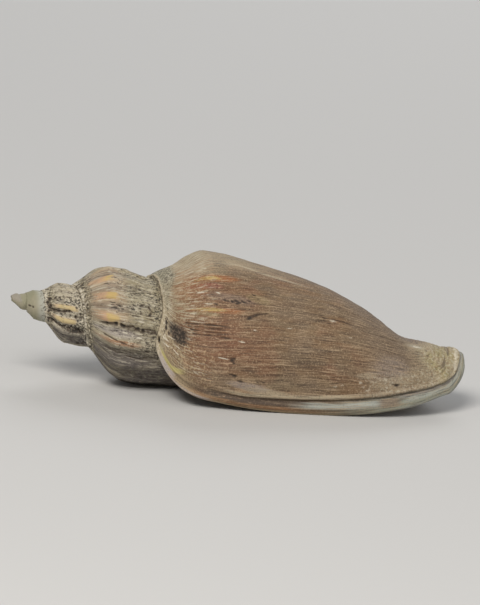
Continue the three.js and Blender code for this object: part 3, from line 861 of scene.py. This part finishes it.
def blend(factor, under, over):
    """One colour where the factor is 0 and the other where it is 1."""
    made = put("ShaderNodeMix", data_type="RGBA", blend_type="MIX")
    for socket, value in zip((made.inputs[0], made.inputs[6], made.inputs[7]), (factor, under, over)):
        if isinstance(value, bpy.types.NodeSocket):
            tree.links.new(value, socket)
        else:
            socket.default_value = (*value, 1) if isinstance(value, tuple) else value
    return made.outputs[2]


def washed(under, layers):
    """Lays each layer's colour on, as strong as its number, where all its masks are 1."""
    for colour, strength, *masks in layers:
        under = blend(both(*masks, strength), under, colour)
    return under


def swayed(value, noise, amount):
    """The value pushed up and down by noise."""
    return plus(value, both(minus(noise, 0.5), amount))


def mottle(vector, scale, detail=2.0, seed=0.0):
    """Noise about 0.5."""
    made = put("ShaderNodeTexNoise", {"Vector": vector, "W": seed, "Scale": scale, "Detail": detail,
                                      "Roughness": 0.55}, noise_dimensions="4D")
    return made.outputs[0]


def uv(name):
    """The two values of a UV map."""
    split = put("ShaderNodeSeparateXYZ", {0: put("ShaderNodeUVMap", uv_map=name).outputs[0]})
    return split.outputs[0], split.outputs[1]


turn, row = uv("growth")
outside, dirt = uv("marks")
white, grown = uv("lime")
to_lip, from_suture = uv("edges")
to_next = uv("beside")[0]
body = put("ShaderNodeTexCoord").outputs["Object"]

# How much lime had been laid down, in millimetres round the shoulder.
laid = both(calc("POWER", math.exp(GROWTH_RATE), grown), 2 * math.pi * LIP_RADIUS / GROWTH_RATE)


def streaks(width, per_row, detail=2.0, seed=0.0):
    """Noise drawn out along the shell's former lips, its width in millimetres."""
    along = put("ShaderNodeCombineXYZ", {0: both(laid, 1 / width), 1: both(row, per_row)}).outputs[0]
    return mottle(along, 1.0, detail, seed)


def spot(at_turn, at_row, half_turn, half_row, slant=0.0, ragged=1.2):
    """A soft-edged mark on the shell. Its slant is in turns for each row."""
    off_row = minus(row, at_row)
    off_turn = minus(minus(turn, at_turn), both(off_row, slant))
    across, along = calc("DIVIDE", off_turn, half_turn), calc("DIVIDE", off_row, half_row)
    far = calc("SQRT", plus(both(across, across), both(along, along)))
    return rise(swayed(far, fine_streaks, ragged), 1.25, 0.55)


broad_streaks = streaks(2.6, 0.5, 2.0, 3.0)
fine_streaks = streaks(0.46, 0.6, 3.0, 1.0)
thin_streaks = streaks(0.3, 1.2, 2.0, 2.0)
dashes = streaks(0.5, 4.5, 1.0, 8.0)
specks = streaks(0.42, 4.5, 2.0, 9.0)
lumps = mottle(body, 230.0, 3.0, 4.0)
dots = mottle(body, 1700.0, 3.0, 5.0)
blobs = mottle(body, 1700.0, 3.0, 7.0)
grain = mottle(body, 2600.0, 1.0, 6.0)
patches = mottle(body, 90.0, 2.0, 10.0)
wavy_turn = swayed(turn, broad_streaks, 0.03)
wavy_row = swayed(row, lumps, 1.2)

# The last whorl's flank: browns that turn red towards the shoulder and mauve towards the canal.
tone = blend(rise(broad_streaks, 0.38, 0.62), BROWN, BROWN_GREY)
darker = both(band(wavy_row, 2.0, 3.0, 4.5, 6.0), band(wavy_turn, -0.14, -0.1, -0.07, -0.04))
# A painted sheen: the top of the last whorl is lightened with sand along its outline.
silhouette_sheen = both(band(wavy_turn, -0.245, -0.285, -0.4, -0.48), rise(wavy_row, 5.5, 2.5))
sandy = rise(plus(row, both(calc("ABSOLUTE", plus(turn, 0.12)), -2.8)), 0.62, 0.22)
tone = washed(tone, [
    (BROWN_RED, 0.5, rise(wavy_row, 3.2, 1.0), rise(wavy_turn, -0.25, -0.2)),
    (MAUVE, 0.7, rise(wavy_row, 5.2, 6.6)),
    (BROWN_DARK, 0.25, darker),
    (BROWN_RED, 0.45, rise(patches, 0.5, 0.64), rise(row, 6.5, 5.0)),
    (MAUVE, 0.45, rise(patches, 0.5, 0.36)),
    (CREAM, 1.0, rise(wavy_row, 7.6, 9.4), rise(wavy_turn, -0.16, -0.12)),
    (YELLOW, 0.8, rise(wavy_row, 8.4, 10.0), rise(wavy_turn, -0.14, -0.1), rise(lumps, 0.4, 0.6)),
    (SAND, 0.75, silhouette_sheen),
    (CREAM, 0.5, rise(wavy_turn, -0.265, -0.3), rise(turn, -0.5, -0.42), rise(row, 3.2, 1.8)),
    (CREAM, 0.22, rise(wavy_turn, -0.07, -0.045), band(row, 0.8, 1.2, 3.0, 4.0)),
    (SAND, 0.85, sandy, rise(row, 1.1, 0.8)),
])

# Marks of colour on it, drawn along the growth lines.
COLOUR_SPOTS = [
    # turns, row, half its turns, half its rows, slant, strength, colour
    (-0.1, 0.95, 0.042, 0.75, 0.0, 0.6, BROWN_RED),
    (-0.225, 1.15, 0.009, 0.8, -0.006, 0.85, ORANGE),
    (-0.224, 0.92, 0.005, 0.38, -0.004, 0.75, RIB_OCHRE),
    (-0.24, 0.5, 0.016, 0.32, 0.03, 0.42, ORANGE),
    (-0.206, 0.85, 0.007, 0.45, 0.0, 0.8, CRIMSON),
    (-0.15, 0.8, 0.005, 0.4, 0.0, 0.45, YELLOW),
    (-0.159, 1.25, 0.0052, 0.8, -0.006, 0.8, ORANGE),
    (-0.158, 0.95, 0.0034, 0.42, -0.006, 0.8, RIB_OCHRE),
    (-0.2, 0.55, 0.034, 0.32, 0.0, 0.42, ORANGE),
    (-0.196, 2.5, 0.01, 0.45, 0.0, 0.35, YELLOW),
    (-0.128, 9.3, 0.008, 0.9, 0.0, 0.5, RIB_CHALK),
    (-0.075, 6.8, 0.03, 0.9, 0.0, 0.25, LILAC_WHITE),
    (-0.041, 2.1, 0.007, 0.6, 0.0, 0.5, LILAC_WHITE),
    (-0.036, 2.6, 0.006, 0.7, 0.0, 0.45, CREST_PALE),
    (-0.25, 1.1, 0.018, 0.5, 0.0, 0.6, SAND),
    (-0.29, 1.6, 0.03, 1.0, 0.0, 0.45, SAND),
    (-0.268, 3.2, 0.004, 1.7, 0.007, 0.7, CREST_PALE),
    (-0.272, 1.9, 0.003, 0.9, -0.006, 0.55, CREST_PALE),
    (-0.052, 6.6, 0.016, 0.9, 0.0, 0.45, CREAM),
    (-0.055, 7.9, 0.02, 1.0, 0.0, 0.45, CREAM),
    (-0.071, 5.75, 0.006, 0.45, 0.0, 0.4, CREST_PALE),
    (-0.185, 1.6, 0.01, 0.8, 0.0, 0.3, LILAC),
]
for at_turn, at_row, half_turn, half_row, slant, strength, colour in COLOUR_SPOTS:
    mark = spot(at_turn, at_row, half_turn, half_row, slant)
    tone = washed(tone, [(colour, strength, mark)])

# A cream crest runs along the groove beside the lip, and a painted shadow darkens the groove. The lip
# outside it is brown, lilac and grey-green by turns, with a blue-white band of painted reflection and
# a blue-white edge.
uneven = swayed(to_lip, thin_streaks, 0.35)
crest_line = both(band(uneven, -0.4, -0.24, -0.08, 0.0), rise(row, 1.1, 1.8))
crest_line = both(crest_line, minus(0.8, both(rise(row, 4.5, 5.5), 0.35)))
tone = blend(crest_line, tone, CREST_PALE)
lip = both(rise(to_lip, -0.06, 0.02), rise(row, 0.5, 1.1))
lip_tone = blend(rise(wavy_row, 3.8, 6.0), LIP_BROWN, LIP_GREEN)
brown_line = both(band(uneven, 0.42, 0.52, 0.7, 0.8), rise(wavy_row, 4.6, 3.6))
plum = both(rise(uneven, 0.55, 0.35), rise(wavy_row, 3.9, 2.9))
lilac = both(band(uneven, 0.0, 0.12, 0.2, 0.34), rise(wavy_row, 6.2, 7.0))
# A painted reflection: a blue-white band where the lip's hollow would catch light from the sky.
blue_reflection = both(band(uneven, 0.08, 0.26, 0.46, 0.6), band(row, 2.9, 3.8, 5.7, 6.2))
blue_reflection = either(blue_reflection, both(band(uneven, 0.2, 0.34, 0.48, 0.64), rise(row, 6.6, 7.2), 0.7))
rusty = both(band(uneven, 0.1, 0.2, 0.6, 0.75), band(row, 5.8, 6.1, 6.5, 6.9))
lip_tone = washed(lip_tone, [
    (SAND, 0.55, rise(row, 1.8, 0.9)),
    (ORANGE, 0.45, brown_line, rise(fine_streaks, 0.4, 0.6)),
    (LILAC, 0.8, lilac),
    (BLUE_WHITE, 0.9, blue_reflection),
    (BROWN_RED, 0.45, rusty),
])
lip_place = put("ShaderNodeCombineXYZ", {0: both(to_lip, 9.0), 1: both(row, 0.5)}).outputs[0]
lip_lines = mottle(lip_place, 1.0, 3.0, 11.0)
edge_line = both(rise(to_lip, 0.78, 0.86), band(row, 0.9, 1.4, 4.0, 5.0))
pale_edge = both(rise(to_lip, 0.76, 0.86), rise(row, 6.0, 7.5))
lip_tone = washed(lip_tone, [
    (BROWN_DARK, 0.55, rise(lip_lines, 0.48, 0.36)),
    (LINE_PALE, 0.5, rise(lip_lines, 0.53, 0.66)),
    (PLUM, 0.85, plum),
    (CREAM, 0.7, edge_line),
    (BLUE_WHITE, 0.6, pale_edge),
])
tone = blend(lip, tone, lip_tone)
# A painted shadow: the groove beside the lip is darkened, more softly towards the canal.
groove_shadow = both(rise(calc("ABSOLUTE", minus(uneven, 0.04)), 0.14, 0.05), rise(row, 0.45, 0.65))
groove_shadow = both(groove_shadow, band(row, 10.9, 10.2, 2.8, 1.4))
groove_shadow = both(groove_shadow, minus(0.65, both(rise(row, 7.0, 8.5), 0.3)))
tone = blend(groove_shadow, tone, BROWN_DARK)
hook = both(rise(turn, -0.0165, -0.013), rise(row, 0.44, 0.34))
hook_edge = both(rise(turn, -0.0085, -0.006), rise(row, 1.2, 0.8))
along_hook = plus(plus(turn, 0.0205), both(either(minus(row, 0.32), 0.0), 0.065))
yellow_band = both(rise(calc("ABSOLUTE", along_hook), 0.0068, 0.0036),
                   band(row, 0.6, 0.4, 0.06, 0.02))
tone = washed(tone, [
    (LILAC_WHITE, 0.9, hook),
    (LILAC_WHITE, 0.8, hook_edge),
])

# The last whorl's growth lines, light and dark, and grains of pale lime. They break up into dots
# on the ramp.
crumbled = either(both(rise(wavy_row, 8.2, 9.4), rise(turn, -0.14, -0.1)),
                  both(rise(wavy_row, 4.9, 6.4), rise(wavy_turn, -0.082, -0.058), 0.8))
crumbled = both(crumbled, minus(1.0, lip))
lined = minus(rise(row, 0.15, 0.7), both(either(lip, both(crumbled, 1.7)), 0.45))
grainy = minus(1.0, both(lip, 0.5))
dotted = both(rise(row, 1.3, 0.5), band(turn, -0.3, -0.24, -0.042, -0.028))
dotted = both(dotted, minus(1.0, both(spot(-0.097, 0.95, 0.03, 0.4), 0.8)))
near_shoulder = rise(row, 3.0, 0.9)
tone = washed(tone, [
    (BROWN_DARK, 0.38, rise(fine_streaks, 0.48, 0.36), lined),
    (LINE_PALE, 0.38, rise(fine_streaks, 0.53, 0.66), lined),
    (BROWN_DARK, 0.66, rise(thin_streaks, 0.47, 0.36), lined),
    (LINE_PALE, 0.64, rise(thin_streaks, 0.54, 0.66), lined),
    (LINE_PALE, 0.5, rise(grain, 0.54, 0.68), grainy),
    (BROWN_DARK, 0.42, rise(grain, 0.46, 0.32), grainy),
    (BROWN, 0.55, rise(dots, 0.47, 0.37), crumbled),
    (RIB_CHALK, 0.55, rise(dots, 0.53, 0.63), crumbled),
    (CREAM, 0.6, rise(dots, 0.51, 0.6), dotted),
    (BROWN, 0.6, rise(dots, 0.48, 0.4), dotted),
    (RIB_CHALK, 0.65, rise(specks, 0.55, 0.62), dotted),
    (BROWN_RED, 0.75, rise(specks, 0.45, 0.38), dotted),
    (blend(0.5, LINE_PALE, RIB_PINK), 0.7, rise(dashes, 0.6, 0.68), near_shoulder),
])

# Broken dots beside the hook, and a dark patch above them.
hook_side = both(rise(wavy_turn, -0.098, -0.078), rise(wavy_row, 1.4, 0.8), rise(row, 0.05, 0.2),
                 rise(turn, -0.018, -0.03))
patch = both(spot(-0.0965, 0.32, 0.021, 0.21, 0.0, 1.0), rise(lumps, 0.18, 0.4))
tone = washed(tone, [
    (BROWN, 0.55, rise(dots, 0.48, 0.4), hook_side),
    (DOT_SAND, 0.5, rise(dots, 0.54, 0.62), hook_side),
    (HOOK_YELLOW, 0.75, yellow_band),
    (PLUM, 0.85, patch),
    (DIRT, 0.9, patch, rise(dots, 0.58, 0.44)),
])

# The spire's ribbed whorls: chalky and dirty, with ochre left on some of the crests.
since = plus(turn, -RIBS_COUNTED_FROM)
rib_count = plus(both(since, since, RIBS_GAINED), -FIRST_RIB)
rib_count = plus(both(since, RIBS_PER_TURN), rib_count)
crest = both(plus(calc("COSINE", both(rib_count, 2 * math.pi)), 1.0), 0.5)
third = rise(turn, -1.5, -1.7)
oldest_ribs = rise(turn, -2.15, -2.22)
upper_side = band(turn, -1.08, -1.11, -1.3, -1.35)
ribbed_tone = blend(rise(lumps, 0.35, 0.62), RIB_LIME, blend(0.35, RIB_LIME, RIB_CHALK))
# The spire's whorls go dark grey on their downward sides: partly dirt, mostly painted shade.
underside_dirt_and_shade = either(band(turn, -1.06, -0.98, -0.8, -0.74), band(turn, -2.0, -1.97, -1.86, -1.8))
upper = either(band(turn, -1.085, -1.095, -1.29, -1.3), band(turn, -2.0, -2.01, -2.14, -2.15))
stain_end = plus(0.75, both(third, 1.2))
stain = minus(1.0, rise(minus(wavy_row, stain_end), 0.0, 0.5))
pinkish = both(rise(crest, 0.45, 0.7), rise(wavy_row, 0.15, 0.35), stain, upper)
ochre = both(rise(crest, 0.6, 0.85), rise(wavy_row, 0.3, 0.55), stain, upper)
ochre_tone = blend(both(third, 0.35), blend(rise(wavy_row, 0.9, 0.55), RIB_OCHRE, RIB_PINK), RIB_CHALK)
clean = both(minus(1.0, both(ochre, 0.8)), minus(1.0, both(underside_dirt_and_shade, 0.45)))
grubby = swayed(both(crest, -0.05), lumps, 0.45)
grubby = plus(grubby, both(rise(row, 0.5, 0.1), 0.06))
grubby = plus(grubby, both(either(third, both(underside_dirt_and_shade, 0.5)), 0.05))
grubby = plus(grubby, both(rise(wavy_row, 1.2, 2.2), 0.03))
grubby = plus(grubby, both(oldest_ribs, third, -0.07))
speckled = both(rise(minus(specks, grubby), 0.43, 0.35), clean)
ribbed = rise(wavy_turn, -0.72, -0.86)
ribbed_tone = washed(ribbed_tone, [
    (RIB_CHALK, 0.45, third),
    (CREST_PALE, 0.4, third, oldest_ribs),
    (RIB_PINK, 0.35, rise(wavy_row, 1.9, 1.1), upper_side),
    (YELLOW, 0.15, rise(wavy_row, 1.2, 2.2), upper_side),
    (LILAC_WHITE, 0.65, spot(-1.07, 1.15, 0.013, 1.1)),
    (RIB_GREY, 0.35, rise(crest, 0.5, 0.1), rise(row, 3.2, 1.6)),
    (RIB_GREY, 0.92, underside_dirt_and_shade, rise(broad_streaks, 0.8, 0.45)),
    (RIB_PINK, 0.6, pinkish),
    (ochre_tone, 0.95, ochre),
    (ORANGE, 0.6, spot(-1.044, 1.3, 0.009, 1.0)),
    (RIB_GREY, 0.6, rise(fine_streaks, 0.48, 0.34), clean),
    (RIB_CHALK, 0.6, rise(thin_streaks, 0.52, 0.62), clean),
    (RIB_CHALK, 0.7, rise(specks, 0.56, 0.66), clean),
    (BROWN_DARK, 0.6, rise(dots, 0.46, 0.38), rise(wavy_row, 0.6, 1.8), clean),
    (DIRT, 0.85, speckled),
])
tone = blend(ribbed, tone, ribbed_tone)

# The ramp beside the suture is grey-green with black dots, and a pale thread follows the suture.
# The tip is smooth and grey.
ragged_edge = swayed(from_suture, dashes, 3.0)
wider = both(band(turn, -0.18, -0.27, -0.5, -0.6), -1.8)
ramp = both(rise(plus(ragged_edge, wider), 4.0, 2.6), rise(turn, -2.6, -2.4))
top_ramp = both(band(turn, -0.22, -0.26, -0.4, -0.5), rise(row, 1.2, 0.7))
ramp_tone = blend(rise(turn, -0.18, -0.1), RIB_LIME, CREAM)
tone = washed(tone, [
    (CREST_PALE, 0.65, top_ramp),
    (ORANGE, 0.5, top_ramp, rise(wavy_turn, -0.31, -0.27), rise(thin_streaks, 0.5, 0.6)),
    (BROWN, 0.6, top_ramp, rise(specks, 0.48, 0.4)),
    (RIB_CHALK, 0.6, top_ramp, rise(specks, 0.54, 0.62)),
])
ramp_dirt = minus(dots, both(rise(turn, -0.2, -0.27), 0.05))
ramp_tone = washed(ramp_tone, [
    (LIP_GREEN, 0.6, band(turn, -0.2, -0.27, -0.5, -0.6)),
    (DIRT, 0.8, rise(ramp_dirt, 0.46, 0.38)),
    (RIB_CHALK, 0.75, rise(dots, 0.53, 0.63)),
])
whiskers = both(rise(thin_streaks, 0.5, 0.58), rise(ragged_edge, 5.5, 2.5), rise(turn, -0.3, -0.2))
older = rise(turn, -0.7, -0.95)
thick = plus(THREAD_HALF_WIDTH, both(older, OLD_THREAD_GAIN))
knobbly = swayed(from_suture, dots, 1.6)
thread = rise(calc("ABSOLUTE", minus(calc("DIVIDE", knobbly, thick), 1.0)), 1.0, 0.5)
thread = both(thread, rise(minus(dashes, both(older, 0.06)), 0.36, 0.46))
thread = both(thread, band(turn, -2.66, -2.6, -0.04, -0.03))
beside = either(rise(swayed(from_suture, broad_streaks, 3.0), 3.0, 1.6),
                rise(swayed(to_next, broad_streaks, 3.0), 2.0, 0.8))
beside = both(beside, older, rise(turn, -2.6, -2.5))
whiter = either(third, rise(from_suture, 3.0, 1.6))
# A painted shadow: a thin dark line right along the suture, where the whorls meet.
suture_shadow = both(rise(from_suture, 0.22, 0.05), band(turn, -2.6, -2.5, -0.02, -0.01))
tip = rise(turn, -2.64, -2.72)
tip_foot = rise(turn, -3.5, -3.3)
tip_tone = blend(rise(lumps, 0.35, 0.65), TIP_GREY, TIP_SAND)
tone = washed(tone, [
    (ramp_tone, 0.8, ramp),
    (RIB_CHALK, 0.7, whiskers),
    (DIRT, 0.8, beside, rise(blobs, 0.48, 0.41)),
    (WHITE, 0.65, beside, whiter, rise(blobs, 0.54, 0.62)),
    (BROWN_DARK, 0.35, suture_shadow),
    (blend(older, CREST_PALE, WHITE), 0.85, thread),
])
tip_tone = washed(tip_tone, [
    (TIP_LILAC, 0.4, rise(turn, -4.02, -4.12)),
    (TIP_BLUE, 0.6, rise(to_next, 2.6, 0.6), tip_foot),
    (BROWN_DARK, 0.7, rise(dots, 0.46, 0.4), rise(to_next, 1.6, 0.2), tip_foot),
])
tone = blend(tip, tone, tip_tone)

# White lime, dirt, and the inside.
tone = washed(tone, [
    (WHITE, 0.85, rise(swayed(white, dots, 0.9), 0.25, 0.85)),
    (BROWN_DARK, 0.75, rise(swayed(dirt, dots, 0.54), 0.12, 0.5)),
    (DIRT, 0.9, rise(swayed(dirt, dots, 0.54), 0.55, 1.0)),
])
tone = blend(rise(outside, 0.75, 0.35), tone, blend(rise(lumps, 0.3, 0.7), CREAM, SAND))

tree.links.new(tone, lime.inputs["Base Color"])
rough = put("ShaderNodeMapRange", {0: fine_streaks, 1: 0.3, 2: 0.7, 3: 0.68, 4: 0.86})
tree.links.new(rough.outputs[0], lime.inputs["Roughness"])
GRAIN_HEIGHT = 0.22 * MM
coarse = plus(both(thin_streaks, 0.6), both(grain, 0.4))
bump = put("ShaderNodeBump", {"Strength": 0.7, "Distance": GRAIN_HEIGHT, "Height": coarse})
tree.links.new(bump.outputs[0], lime.inputs["Normal"])
skin_mesh.materials.clear()
skin_mesh.materials.append(fossil)
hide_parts("shell")
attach(shell, "root")
